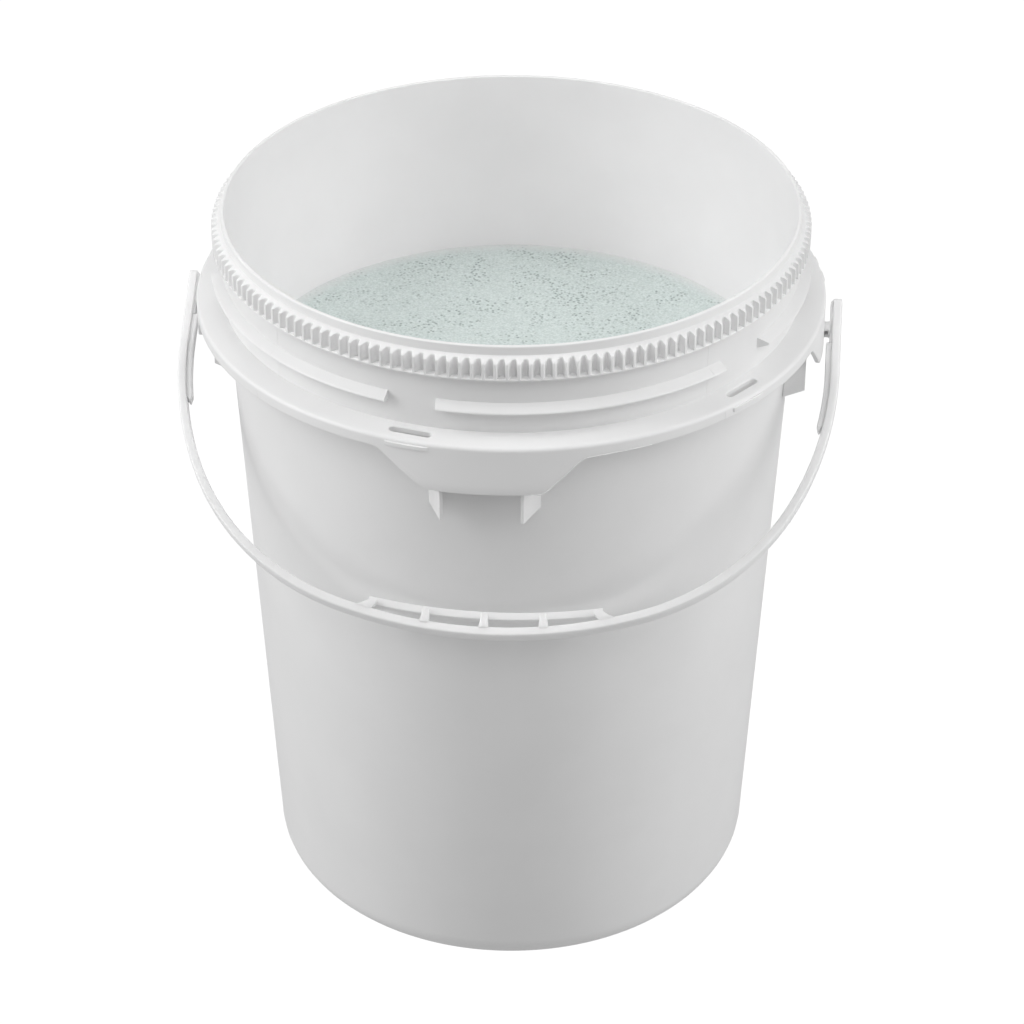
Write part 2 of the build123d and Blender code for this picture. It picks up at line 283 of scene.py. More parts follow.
# the bucket's core draws upwards; the bail fills along its length and is thin enough to let light through
bucketPlastic = mouldedPolypropylene("bucketPolypropylene", (1, 1, 0.05), 0.0)
bailPlastic = mouldedPolypropylene("bailPolypropylene", (0.25, 1, 1), 0.6)
print("materials made")


# lathe used by the shell
def latheTree():
    tree, given = startTree("lathe", {"Segments": "Int", "Material": "Material"})
    profile = given["Geometry"]
    size = addNode(tree, "GeometryNodeAttributeDomainSize", {}, {"Geometry": profile}).outputs["Point Count"]
    rows = addNode(tree, "ShaderNodeMath", {"operation": "ADD", 1: 1.0}, {0: given["Segments"]}).outputs[0]
    grid = addNode(tree, "GeometryNodeMeshGrid", {}, {"Vertices X": rows, "Vertices Y": size})
    index = addNode(tree, "GeometryNodeInputIndex").outputs[0]
    along = addNode(tree, "ShaderNodeMath", {"operation": "FLOORED_MODULO"}, {0: index, 1: size}).outputs[0]
    share = addNode(tree, "ShaderNodeMath", {"operation": "DIVIDE"}, {0: index, 1: size}).outputs[0]
    step = addNode(tree, "ShaderNodeMath", {"operation": "FLOOR"}, {0: share}).outputs[0]
    turned = addNode(tree, "ShaderNodeMath", {"operation": "MULTIPLY", 1: math.tau}, {0: step}).outputs[0]
    angle = addNode(tree, "ShaderNodeMath", {"operation": "DIVIDE"}, {0: turned, 1: given["Segments"]}).outputs[0]
    position = addNode(tree, "GeometryNodeInputPosition").outputs[0]
    sample = addNode(tree, "GeometryNodeSampleIndex", {"data_type": "FLOAT_VECTOR", "domain": "POINT"},
                     {"Geometry": profile, "Value": position, "Index": along}).outputs[0]
    spin = addNode(tree, "ShaderNodeVectorRotate", {"rotation_type": "Z_AXIS"},
                   {"Vector": sample, "Angle": angle})
    placed = addNode(tree, "GeometryNodeSetPosition", {},
                     {"Geometry": grid.outputs[0], "Position": spin.outputs[0]})
    endTree(tree, placed.outputs[0], given["Material"])
    return tree


lathe = latheTree()


def turnedPiece(name, profile, material):
    # profile is a list of (radius, depth)
    points = [(r, 0, bucketHeight - depth) for r, depth in profile]
    piece = meshPiece(name, points, edges=[(i, i + 1) for i in range(len(points) - 1)])
    settleTree(piece, lathe, {"Segments": segments, "Material": material})
    return tidyMesh(piece)


# shell: floor, wall, neck and lip in one skin
shell = {
    "mouthRadius": 150.0,
    "mouthLand": 12.0,  # straight mouth where the lid plugs in
    "slope": 0.0496,
    "wall": 3.1,
    "floor": 3.5,
    "foot": 18.0,  # outside corner radius
    "midDepth": 200.0,  # one more ring half way down the wall
    "neckDepth": 52.5,
    "lipRadius": 152.1,
    "lipDepth": 5.4,
    "lipRounding": 0.8,
    "gateRadius": 5.0,  # injection point under the floor
    "gateEdge": 1.0,
    "gateDepth": 0.6,
}


def innerRadius(depth):
    return shell["mouthRadius"] - shell["slope"] * (depth - shell["mouthLand"])


def shellProfile():
    wall, foot, bottom, middle = shell["wall"], shell["foot"], bucketHeight, shell["midDepth"]
    floorDepth = bottom - shell["floor"]
    corners = [
        (0, bottom - shell["gateDepth"]),
        (shell["gateRadius"] - shell["gateEdge"], bottom - shell["gateDepth"]),
        (shell["gateRadius"], bottom),
        (innerRadius(bottom) + wall, bottom, foot),
        (innerRadius(middle) + wall, middle),
        (innerRadius(shell["neckDepth"]) + wall, shell["neckDepth"]),
        (neckRadius, shell["neckDepth"]),
        (neckRadius, shell["lipDepth"]),
        (shell["lipRadius"], shell["lipDepth"]),
        (shell["lipRadius"], 0, shell["lipRounding"]),
        (shell["mouthRadius"], 0, shell["lipRounding"]),
        (shell["mouthRadius"], shell["mouthLand"]),
        (innerRadius(middle), middle),
        (innerRadius(floorDepth), floorDepth, foot - wall),
        (0, floorDepth),
    ]
    return roundCorners(corners, 8)


bucketShell = turnedPiece("bucketShell", shellProfile(), bucketPlastic)
finishPiece(bucketShell, "bucket", "bucket_plastic", bucketPlastic, "base", "wall", "neck")
print("shell", len(bucketShell.data.polygons))


# ratchet ring: one cell of the ring, repeated by the pitch
ratchet = {
    "teeth": 170,
    "top": 5.4,
    "shoulder": 1.8,  # fall of the sloping top from the neck to the teeth
    "bottom": 17.0,
    "ledge": 1.2,
    "groove": 3.2,
    # share of the pitch and share of the groove's depth
    "columns": [(0, 0), (0.18, 0), (0.25, 0.12), (0.35, 0.5), (0.45, 0.8), (0.56, 0.95), (0.68, 1), (0.82, 1),
                (0.9, 0.82), (0.96, 0.25), (1, 0)],
}


def shoulderDepth(radius):
    return ratchet["top"] + ratchet["shoulder"] * (radius - neckRadius) / (ringRadius - neckRadius)


def ratchetCell():
    pitch = 360 / ratchet["teeth"]
    low, crest = ratchet["bottom"], ringRadius - 0.02
    rings = []
    for share, sunk in ratchet["columns"]:
        root = crest - ratchet["groove"] * sunk
        profile = [
            (neckRadius - 0.3, low),
            (crest - 0.35, low),
            (crest - 0.05, low - 0.3),
            (crest, low - 0.75),
            (crest - 0.25 * sunk, low - ratchet["ledge"]),
            (root, low - ratchet["ledge"] - 0.5 * sunk),
            (root, shoulderDepth(root) + 0.6),
            (root - 0.1, shoulderDepth(root) + 0.2),
            (root - 0.4, shoulderDepth(root - 0.4)),
            (neckRadius + 0.55, shoulderDepth(neckRadius + 0.55)),
            (neckRadius - 0.4, ratchet["top"] - 0.15),
            (shell["lipRadius"] - 0.2, ratchet["top"] - 0.6),
            (shell["lipRadius"] - 0.2, ratchet["top"] + 1),
        ]
        rings.append([atAzimuth(r, share * pitch, d) for r, d in profile])
    return meshPiece("ratchetRing", *bridge(rings))


def repeatAroundTree():
    tree, given = startTree("repeatAround", {"Count": "Int", "First Turn": "Float", "Material": "Material"})
    points = addNode(tree, "GeometryNodePoints", {}, {"Count": given["Count"]}).outputs[0]
    index = addNode(tree, "GeometryNodeInputIndex").outputs[0]
    turned = addNode(tree, "ShaderNodeMath", {"operation": "MULTIPLY", 1: math.tau}, {0: index}).outputs[0]
    angle = addNode(tree, "ShaderNodeMath", {"operation": "DIVIDE"}, {0: turned, 1: given["Count"]}).outputs[0]
    offset = addNode(tree, "ShaderNodeMath", {"operation": "ADD"}, {0: angle, 1: given["First Turn"]}).outputs[0]
    turn = addNode(tree, "ShaderNodeCombineXYZ", {}, {"Z": offset}).outputs[0]
    placed = addNode(tree, "GeometryNodeInstanceOnPoints", {},
                     {"Points": points, "Instance": given["Geometry"], "Rotation": turn})
    endTree(tree, placed.outputs[0], given["Material"])
    return tree


repeatAround = repeatAroundTree()
ratchetRing = ratchetCell()
settleTree(ratchetRing, repeatAround, {"Count": ratchet["teeth"], "First Turn": 0.0, "Material": bucketPlastic})
tidyMesh(ratchetRing, 40)
finishPiece(ratchetRing, "bucket", "bucket_plastic", bucketPlastic, "ratchet_ring")
print("ratchet ring", len(ratchetRing.data.polygons))


# bayonet thread: six lugs with a sloping top and a flat underside
thread = {
    "top": 31.3,
    "bottom": 37.3,
    "landTop": 34.4,
    "land": 1.0,
    # first and last azimuth of each lug, and whether its first end is cut along the draw of its mould slide
    "lugs": [(-78, -18.2, False), (-8.8, 48.2, True), (59.6, 92, True), (102, 161.8, False),
             (171.2, 228.2, True), (239.6, 272, True)],
    "step": 1.5,  # degrees between sections
    "lead": 1.5,  # degrees from an end to its first full section
    "root": 0.5,  # how far the lugs reach into the neck
}


def lugSection(azimuth, cut):
    top, low = thread["landTop"], thread["landTop"] + thread["land"]
    profile = [
        (neckRadius - thread["root"], thread["top"] - 0.3),
        (neckRadius + 0.15, thread["top"] + 0.05),
        (threadRadius - 0.7, top - 0.42),
        (threadRadius - 0.2, top - 0.02),
        (threadRadius, top + 0.4),
        (threadRadius, low - 0.3),
        (threadRadius - 0.3, low + 0.12),
        (neckRadius - thread["root"], thread["bottom"] + 0.1),
    ]
    section = []
    for radius, depth in profile:
        x, y, z = atAzimuth(radius, azimuth, depth)
        if cut:  # keep the end face parallel to the slide's draw
            x0, y0, z0 = atAzimuth(neckRadius, azimuth, depth)
            if abs(x0) > abs(y0):
                x, y = math.copysign(math.sqrt(radius ** 2 - y0 ** 2), x0), y0
            else:
                x, y = x0, math.copysign(math.sqrt(radius ** 2 - x0 ** 2), y0)
        section.append((x, y, z))
    return section


lugs = []
for first, last, drawn in thread["lugs"]:
    run = last - first - 2 * thread["lead"]
    steps = round(run / thread["step"])
    azimuths = [first + thread["lead"] + run * k / steps for k in range(steps + 1)]
    sections = [lugSection(first, drawn)] + [lugSection(a, False) for a in azimuths] + [lugSection(last, False)]
    lugs.append(loft("lug", sections))
lidThread = tidyMesh(joinPieces("lidThread", lugs), 35)
finishPiece(lidThread, "bucket", "bucket_plastic", bucketPlastic, "lid_thread")
print("thread", len(lidThread.data.polygons))


# collar: shelf, skirt and the four panels that hang from it
collar = {
    "shelfDepth": 48.3,
    "edgeDepth": 49.6,
    "rounding": 2.0,
    "thickness": 2.5,
    "panelAngles": (9.8, 17.8),  # half angles of a panel at its bottom edge and at the skirt
    "earAngles": (8.3, 15.7),
    "slotAzimuths": [-13, 52, 167, 232],
    "slotRadius": 159.5,
    "slotWidth": 4.4,
    "slotAngle": 6.4,
    "slotChamfer": 0.25,
    "slotCut": 70.0,  # depth where the cut ends, under the shelf
    "barAzimuths": [-12.9, 50.8, 167.1, 230.8],
    "barAngle": 7.6,
    "barTop": 51.4,
    "barHeight": 2.4,
    "barStand": 0.8,
    "sideBars": [99.6, 105.4, -99.6, -105.4],  # short bars beside the ears
    "sideBarAngle": 3.6,
    "pivotHole": 4.25,
    "pivotMouth": 5.2,  # chamfered outside
    "pivotCut": 158.0,  # where the cut begins, clear of the wall
    "quarterSpan": 45,  # degrees to each side that belong to one panel or ear
    "steps": (0.4, 1.0),  # degrees between sections, at a panel's sloping sides and elsewhere
    "slopingSides": (8, 25),
    # the front panel's right edge runs out along the skirt, where its mould insert meets the slide
    "frontOutline": [(-19.0, 56.3), (-17.9, 57.4), (-14.9, 64.6), (-11.9, 71.8), (-10.4, 74.9), (-9.2, 76.2),
                     (-7.0, 76.5), (9.6, 76.5), (10.4, 76.2), (11.1, 75.1), (13.4, 68.6), (14.6, 65.6),
                     (14.9, 64.2), (16.1, 61.0), (17.5, 57.6), (17.8, 57.5), (18.2, 57.0), (19.0, 56.9),
                     (20.4, 56.6), (21.2, 56.6), (24.5, 56.3)],
}


def skirtDepth(azimuth):
    azimuth = (azimuth + 180) % 360 - 180
    if abs(azimuth) < collar["quarterSpan"]:
        xs, ys = zip(*collar["frontOutline"])
        return float(np.interp(azimuth, xs, ys))
    away = min(abs(azimuth - c) for c in (-180, -90, 90, 180))
    low, high = collar["earAngles"] if abs(abs(azimuth) - 90) < collar["quarterSpan"] else collar["panelAngles"]
    edge = [(0, panelBottom), (low - 1.2, panelBottom), (low, panelBottom - 0.6), (low + 0.9, panelBottom - 2.4),
            (high - 0.4, collarBottom + 1.0), (high + 0.6, collarBottom)]
    xs, ys = zip(*edge)
    return float(np.interp(away, xs, ys))


def collarMesh():
    fine, coarse = collar["steps"]
    first, last = collar["slopingSides"]
    azimuths = []
    azimuth = -180.0
    while azimuth < 179.9:
        azimuths.append(azimuth)
        nearest = min(abs(azimuth - c) for c in (-180, -90, 0, 90, 180))
        azimuth += fine if first < nearest + fine < last else coarse
    radius, thick = collarRadius, collar["thickness"]
    top = roundCorners([
        (neckRadius - 0.4, collar["shelfDepth"] - 0.04),
        (neckRadius + 4, collar["shelfDepth"] + 0.37),
        (neckRadius + 9, collar["shelfDepth"] + 0.84),
        (radius, collar["edgeDepth"], collar["rounding"]),
        (radius, collar["edgeDepth"] + 3),
    ], 6)
    under = [(radius - thick, collar["edgeDepth"] + thick + 0.6),
             (radius - thick - 0.6, collar["edgeDepth"] + thick),
             (neckRadius - 0.4, collar["shelfDepth"] + thick)]
    shares = [0.2, 0.4, 0.6, 0.8, 1.0]
    rings = []
    for azimuth in azimuths:
        bottom = skirtDepth(azimuth)
        start = collar["edgeDepth"] + 3
        outside = [(radius, start + (bottom - 0.5 - start) * s) for s in shares]
        rim = [(radius - 0.15, bottom - 0.15), (radius - 0.5, bottom), (radius - thick + 0.4, bottom)]
        inside = [(radius - thick, start + (bottom - 0.4 - start) * s) for s in shares[::-1]]
        rings.append([atAzimuth(r, azimuth, d) for r, d in top + outside + rim + inside + under])
    return tidyMesh(loft("collarBody", rings, closed=True))


def slotCutters():
    cutters = []
    for middle in collar["slotAzimuths"]:
        outline = []
        for end, sign in ((0.5, 1), (-0.5, -1)):
            for k in range(9):
                turn = math.pi * (k / 8 - 0.5)
                outline.append((collar["slotAngle"] * end, sign * math.cos(turn), sign * math.sin(turn)))
        rings = []
        surface, chamfer = collar["shelfDepth"] + 0.6, collar["slotChamfer"]
        for depth, grow in ((surface - 1, chamfer + 1), (surface + chamfer, 0), (collar["slotCut"], 0)):
            half = collar["slotWidth"] / 2 + grow
            ring = []
            for angle, alongArc, across in outline:
                azimuth = middle + angle + math.degrees(alongArc * half / collar["slotRadius"])
                ring.append(atAzimuth(collar["slotRadius"] + across * half, azimuth, depth))
            rings.append(ring)
        cutters.append(loft("slotCutter", rings))
    return tidyMesh(joinPieces("slotCutters", cutters))


def pivotCutters():
    cutters = []
    for side in (-1, 1):
        rings = []
        for x, radius in ((collar["pivotCut"], collar["pivotHole"]), (collarRadius - 0.5, collar["pivotHole"]),
                          (collarRadius + 0.5, collar["pivotMouth"])):
            rings.append([(side * x, radius * a, pivotHeight + radius * b) for a, b in circlePoints(32)])
        cutters.append(loft("pivotCutter", rings))
    return tidyMesh(joinPieces("pivotCutters", cutters))


def skirtBar(middle, width):
    radius, top, bottom = collarRadius, collar["barTop"], collar["barTop"] + collar["barHeight"]
    proud = radius + collar["barStand"]
    profile = [(radius - 0.5, top), (proud - 0.25, top + 0.05), (proud, top + 0.3), (proud, bottom - 0.3),
               (proud - 0.25, bottom - 0.05), (radius - 0.5, bottom)]
    rings = []
    for k in range(9):
        azimuth = middle + width * (k / 8 - 0.5)
        lift = 0.35 if k in (0, 8) else 0
        rings.append([atAzimuth(r - lift if r > radius else r, azimuth, d) for r, d in profile])
    return loft("skirtBar", rings)


collarBody = collarMesh()
cutAway(collarBody, slotCutters())
cutAway(collarBody, pivotCutters())
bars = [skirtBar(a, collar["barAngle"]) for a in collar["barAzimuths"]]
bars += [skirtBar(a, collar["sideBarAngle"]) for a in collar["sideBars"]]
barPiece = tidyMesh(joinPieces("bars", bars))
rimCollar = tidyMesh(joinPieces("rimCollar", [collarBody, barPiece]), 32)
finishPiece(rimCollar, "bucket", "bucket_plastic", bucketPlastic, "collar", "tilt_panel_front", "tilt_panel_back",
            "ear_left", "ear_right")
print("collar", len(rimCollar.data.polygons))


# flash line left along the front panel's edge
flash = {"from": 8.6, "to": 30.0, "size": 0.3, "waver": 0.16, "sunk": 0.08, "lean": 0.05, "seed": 4}


def flashRidge():
    dice = random.Random(flash["seed"])
    rings = []
    azimuth = flash["from"]
    while azimuth < flash["to"]:
        size = flash["size"] * (0.6 + 0.7 * dice.random())
        depth = skirtDepth(azimuth) - 0.2 + flash["waver"] * (dice.random() - 0.5)
        radius = collarRadius - flash["sunk"]
        rings.append([atAzimuth(radius + size * a, azimuth + flash["lean"] * b, depth + size * b)
                      for a, b in circlePoints(6)])
        azimuth += 0.18 + 0.12 * dice.random()
    return tidyMesh(loft("panelFlash", rings), 60)


panelFlash = flashRidge()
finishPiece(panelFlash, "bucket", "bucket_plastic", bucketPlastic)


# parting lines where the four mould slides meet
parting = {
    "azimuth": 45.0,
    "half": 0.16,
    "proud": 0.09,
    "runs": [[(neckRadius, 17.1), (neckRadius, 31.2)],
             [(neckRadius + 0.1, 31.3), (threadRadius - 0.6, 33.95), (threadRadius, 34.8),
              (threadRadius, 35.2)],
             [(neckRadius, 37.5), (neckRadius, 48.2)],
             [(collarRadius, 51.7), (collarRadius, 56.0)]],
}


def partingRidge():
    runs = []
    for run in parting["runs"]:
        rings = []
        for radius, depth in run:
            spread = math.degrees(parting["half"] / radius)
            rings.append([atAzimuth(radius - 0.3, parting["azimuth"] - spread, depth),
                          atAzimuth(radius + parting["proud"], parting["azimuth"], depth),
                          atAzimuth(radius - 0.3, parting["azimuth"] + spread, depth)])
        runs.append(loft("partingRun", rings))
    return joinPieces("partingLines", runs)


partingLines = partingRidge()
settleTree(partingLines, repeatAround, {"Count": 4, "First Turn": 0.0, "Material": bucketPlastic})
tidyMesh(partingLines, 60)
finishPiece(partingLines, "bucket", "bucket_plastic", bucketPlastic)
print("flash and parting lines made")


# fins: pairs of webs behind each panel
fins = {
    "thickness": 1.8,
    "wallOffset": 26.5,
    "wallReach": 148.6,
    "rootDepth": 2.5,  # how far they reach into the wall
    "panelOffset": 20.2,
    "panelReach": {"panelFins": 162.9, "earFins": 157.8},
    "top": 52.0,
    "rounding": 0.35,
}


def finPair(name, reach):
    plates = []
    for side in (-1, 1):
        root = Vector((side * fins["wallOffset"], -fins["wallReach"]))
        tip = Vector((side * fins["panelOffset"], -reach))
        along = (tip - root).normalized()
        across = Vector((-along.y, along.x)) * fins["thickness"] / 2
        root -= along * fins["rootDepth"]
        corners = [root + across, root - across, tip - across, tip + across]
        rings = [[(c.x, c.y, bucketHeight - depth) for c in corners] for depth in (fins["top"], finBottom)]
        plates.append(tidyMesh(loft("fin", rings)))
    return bevelEdges(joinPieces(name, plates), fins["rounding"])


finNodes = {"panelFins": ("fins_front", "fins_back"), "earFins": ("fins_right", "fins_left")}
for name, nodes in finNodes.items():
    pair = finPair(name, fins["panelReach"][name])
    firstTurn = 0.0 if name == "panelFins" else math.pi / 2
    settleTree(pair, repeatAround, {"Count": 2, "First Turn": firstTurn, "Material": bucketPlastic})
    tidyMesh(pair, 40)
    finishPiece(pair, "bucket", "bucket_plastic", bucketPlastic, *nodes)
    print(name, len(pair.data.polygons))


# bail: drawn flat, X across and Y out from the pivot axis, then laid in its plane
bail = {
    "restAngle": 58.3,  # from straight down, towards the front
    "halfWidth": 176.0,
    "thickness": 4.8,
    "width": 8.6,
    "crown": 0.35,  # bulge of the outer face
    "head": 17.8,
    "headRounding": 3.4,
    "straight": 26.0,
    "shoulder": (182.0, 25.5),  # radius, angle
    "bend": (137.0, 45.4),
}
tilt = math.radians(bail["restAngle"])
bailPlane = Matrix((
    (-1, 0, 0, 0),
    (0, -math.sin(tilt), -math.cos(tilt), 0),
    (0, -math.cos(tilt), math.sin(tilt), pivotHeight * mm),
    (0, 0, 0, 1),
))
shoulderTurn = math.radians(bail["shoulder"][1])
bendTurn = math.radians(bail["shoulder"][1] + bail["bend"][1])
bendEnd = (bail["halfWidth"] - bail["shoulder"][0] * (1 - math.cos(shoulderTurn))
           - bail["bend"][0] * (math.cos(shoulderTurn) - math.cos(bendTurn)))
crownRadius = bendEnd / math.cos(bendTurn)
strapReach = (bail["straight"] + bail["shoulder"][0] * math.sin(shoulderTurn)
              + bail["bend"][0] * (math.sin(bendTurn) - math.sin(shoulderTurn))
              + crownRadius * (1 - math.sin(bendTurn)))


def arcPoints(centre, radius, start, end, steps):
    return [(centre[0] + radius * math.cos(start + (end - start) * k / steps),
             centre[1] + radius * math.sin(start + (end - start) * k / steps)) for k in range(steps + 1)]


def halfPath(inset, start):
    # one side of the bail, moved in from its outer face, from the head to the middle of the grip
    first = (bail["halfWidth"] - bail["shoulder"][0], bail["straight"])
    shift = bail["shoulder"][0] - bail["bend"][0]
    second = (first[0] + shift * math.cos(shoulderTurn), first[1] + shift * math.sin(shoulderTurn))
    shift = bail["bend"][0] - crownRadius
    third = (second[0] + shift * math.cos(bendTurn), second[1] + shift * math.sin(bendTurn))
    x = bail["halfWidth"] - inset
    heads = [0, 0.4, 1, 1.8, 2.8, 3.6, 8, 14, 20, 30]
    path = [(x, start + h) for h in heads if start + h < bail["straight"] - 1]
    path += arcPoints(first, bail["shoulder"][0] - inset, 0, shoulderTurn, 24)
    path += arcPoints(second, bail["bend"][0] - inset, shoulderTurn, bendTurn, 36)[1:]
    path += arcPoints(third, crownRadius - inset, bendTurn, math.pi / 2, 22)[1:]
    return path


def sweepTree():
    tree, given = startTree("sweepBand", {"Section": "Object", "Material": "Material"})
    path = addNode(tree, "GeometryNodeMeshToCurve", {}, {"Mesh": given["Geometry"]}).outputs[0]
    section = addNode(tree, "GeometryNodeObjectInfo", {}, {"Object": given["Section"]}).outputs["Geometry"]
    outline = addNode(tree, "GeometryNodeMeshToCurve", {}, {"Mesh": section}).outputs[0]
    band = addNode(tree, "GeometryNodeCurveToMesh", {"Fill Caps": True}, {"Curve": path, "Profile Curve": outline})
    endTree(tree, band.outputs[0], given["Material"])
    return tree


sweepBand = sweepTree()


def sweptPiece(name, path, section, material):
    outline = meshPiece("section", [(x, y, 0) for x, y in section],
                        edges=[(i, (i + 1) % len(section)) for i in range(len(section))])
    piece = meshPiece(name, [(x, y, 0) for x, y in path], edges=[(i, i + 1) for i in range(len(path) - 1)])
    settleTree(piece, sweepBand, {"Section": outline, "Material": material})
    bpy.data.objects.remove(outline)
    return tidyMesh(piece, 40)


def layBail(piece):
    piece.data.transform(bailPlane)
    return piece


def strapPiece():
    half, side = bail["thickness"] / 2, bail["width"] / 2
    crown = bail["crown"]
    section = roundCorners([(-half, -side, 0.7), (half - crown, -side, 0.9), (half, -1.2), (half, 1.0),
                            (half - crown, side, 2.0), (-half, side, 0.7)], 5)
    right = halfPath(half, -bail["head"])
    path = right + [(-x, y) for x, y in right[-2::-1]]
    piece = sweptPiece("bailStrap", path, section, bailPlastic)
    rounding = bail["headRounding"] * mm
    middle = (bail["halfWidth"] - half) * mm
    for vertex in piece.data.vertices:  # round the head's corners and edges
        near = vertex.co.y + bail["head"] * mm
        if near < rounding and abs(vertex.co.x) > 0.15:
            slack = rounding - math.sqrt(max(0, rounding ** 2 - (rounding - near) ** 2))
            limit = side * mm - slack
            vertex.co.z = max(-limit, min(limit, vertex.co.z))
            thin = 1 - 0.3 * max(0, 1 - near / mm) ** 2
            vertex.co.x = math.copysign(middle + (abs(vertex.co.x) - middle) * thin, vertex.co.x)
    return layBail(piece)


bailStrap = finishPiece(strapPiece(), "bail", "bail_plastic", bailPlastic, "bail_strap")
print("strap", len(bailStrap.data.polygons), "reach", round(strapReach, 1))

arm = {"rib": 3.0, "ribWidth": 6.2, "ribStart": 9.0, "ribEnd": 62.0, "pad": 1.4, "padEnd": 16.3}


def flatPlate(name, outline, low, high, rounding):
    # outline in the bail's plane, between two levels
    rings = [[(x, y, level) for x, y in outline] for level in (low, high)]
    piece = tidyMesh(loft(name, rings))
    if rounding:
        bevelEdges(piece, rounding)
        tidyMesh(piece, 40)
    return piece


def armRib(side):
    inner, ribs = bail["thickness"], arm["rib"]
    near = [p for p in halfPath(inner - 0.6, 0) if arm["ribStart"] <= p[1] <= arm["ribEnd"]]
    far = [p for p in halfPath(inner + ribs, 0) if arm["ribStart"] <= p[1] <= arm["ribEnd"] - 1]
    near = [(near[0][0], arm["ribStart"])] + near
    far = [(far[0][0], arm["ribStart"])] + far
    tip = (far[-1][0] + 0.9, arm["ribEnd"])
    rib = flatPlate("rib", near + [tip] + far[::-1], -arm["ribWidth"] / 2, arm["ribWidth"] / 2, 0.7)
    x = bail["halfWidth"] - inner
    pad = [(x + 0.6, -arm["padEnd"]), (x + 0.6, arm["ribStart"] + 0.5), (x - arm["pad"], arm["ribStart"] + 0.5),
           (x - arm["pad"], -arm["padEnd"] + 1.2), (x - arm["pad"] + 1.0, -arm["padEnd"])]
    plate = flatPlate("pad", pad, -arm["ribWidth"] / 2, arm["ribWidth"] / 2, 0.4)
    piece = joinPieces("armRibRight" if side < 0 else "armRibLeft", [rib, plate])
    if side < 0:
        piece.data.transform(Matrix.Scale(-1, 4, (1, 0, 0)))
    return layBail(tidyMesh(piece, 40))


finishPiece(armRib(-1), "bail", "bail_plastic", bailPlastic, "arm_rib_right")
finishPiece(armRib(1), "bail", "bail_plastic", bailPlastic, "arm_rib_left")

pin = {"radius": 4.2, "slot": 2.4, "barb": 0.9, "faces": 40}


def snapPin(side):
    rootX = bail["halfWidth"] - bail["thickness"] - arm["pad"] + 0.3
    barbX = collarRadius - collar["thickness"] - 0.5
    r = pin["radius"]
    profile = [(rootX, 0.05), (rootX, r + 0.6), (rootX - 0.8, r + 0.1), (rootX - 1.2, r), (barbX, r),
               (barbX, r + pin["barb"] - 0.2), (barbX - 0.3, r + pin["barb"]), (barbX - 1, r + pin["barb"]),
               (barbX - 3.2, r - 0.4), (barbX - 3.4, r - 0.9), (barbX - 3.4, 0.05)]
    rings = [[(x, radius * a, radius * b) for a, b in circlePoints(pin["faces"])] for x, radius in profile]
    piece = tidyMesh(loft("snapPinRight" if side > 0 else "snapPinLeft", rings))
    half = pin["slot"] / 2
    box = [(-1, -1), (1, -1), (1, 1), (-1, 1)]
    cutter = loft("pinSlot", [[(x, 9 * a, half * b) for a, b in box] for x in (barbX - 6, rootX - 1.3)])
    cutAway(piece, tidyMesh(cutter))
    if side < 0:
        piece.data.transform(Matrix.Scale(-1, 4, (1, 0, 0)))
    piece.data.transform(Matrix.Translation((0, 0, pivotHeight * mm)))
    return tidyMesh(piece, 35)


finishPiece(snapPin(1), "bail", "bail_plastic", bailPlastic, "snap_pin_right")
finishPiece(snapPin(-1), "bail", "bail_plastic", bailPlastic, "snap_pin_left")
print("arms and pins made")


# grip: rail, end webs and rungs
grip = {
    "reach": 173.7,  # inner edge of the rail at the middle
    "radius": 328.0,
    "halfLength": 60.5,
    "thickness": 4.2,
    "top": 4.0,
    "depth": 5.0,
    "webThickness": 2.6,
    "webReach": 8.5,
    "webRise": 3.0,
    "windowSet": 1.5,
    "windowLean": 3.2,
    "rungs": 3,
    "rungSpacing": 30.0,
    "rungRail": 3.8,
    "rungStrap": 5.6,
    "rungThickness": 4.5,
    "rungRidge": 0.6,  # how far the rungs stand over the rail
    "rungSet": 2.4,
}


def railY(x, radius):
    return grip["reach"] - grip["radius"] + math.sqrt(radius ** 2 - x ** 2)


def strapY(x, inset=bail["thickness"] / 2):
    return strapReach - crownRadius + math.sqrt((crownRadius - inset) ** 2 - x ** 2)


def gripRail():
    half, top = grip["thickness"] / 2, grip["top"]
    low = top - grip["depth"]
    section = roundCorners([(-half, low, 0.5), (half, low, 0.5), (half, top, 0.8), (-half, top, 0.8)], 4)
    middle = grip["radius"] + half
    path = []
    for k in range(41):
        x = grip["halfLength"] * (1 - k / 20)
        path.append((x, railY(x, middle)))
    return layBail(sweptPiece("gripRail", path, section, bailPlastic))


def gripWebs():
    outerRail = grip["radius"] + grip["thickness"]
    middleRail = grip["radius"] + grip["thickness"] / 2
    end = grip["halfLength"]
    windowEnd = end - grip["windowSet"]
    windowTop = windowEnd - grip["windowLean"]
    tip = end + grip["webReach"]
    rise = railY(end, grip["radius"] + grip["webRise"])
    outline = [(end - 0.3, rise), (end + 0.3, rise + 0.3)]
    hollow = [(end + 1.3, rise + 0.9), (end + 3, rise + 1.9), (end + 5.5, rise + 2.8)]
    outline += hollow + [(tip, strapY(tip, 4.4)), (tip, strapY(tip)), (windowEnd, strapY(windowEnd)),
                         (windowEnd, strapY(windowEnd, 4.7)), (windowTop, railY(windowTop, outerRail) + 0.1),
                         (windowTop, railY(windowTop, middleRail))]
    top = grip["top"] - 0.05
    webs = []
    for side in (1, -1):
        flat = [(side * x, y) for x, y in outline]
        webs.append(flatPlate("web", flat, top - grip["webThickness"], top, 0.35))
    return layBail(tidyMesh(joinPieces("gripWebs", webs), 40))


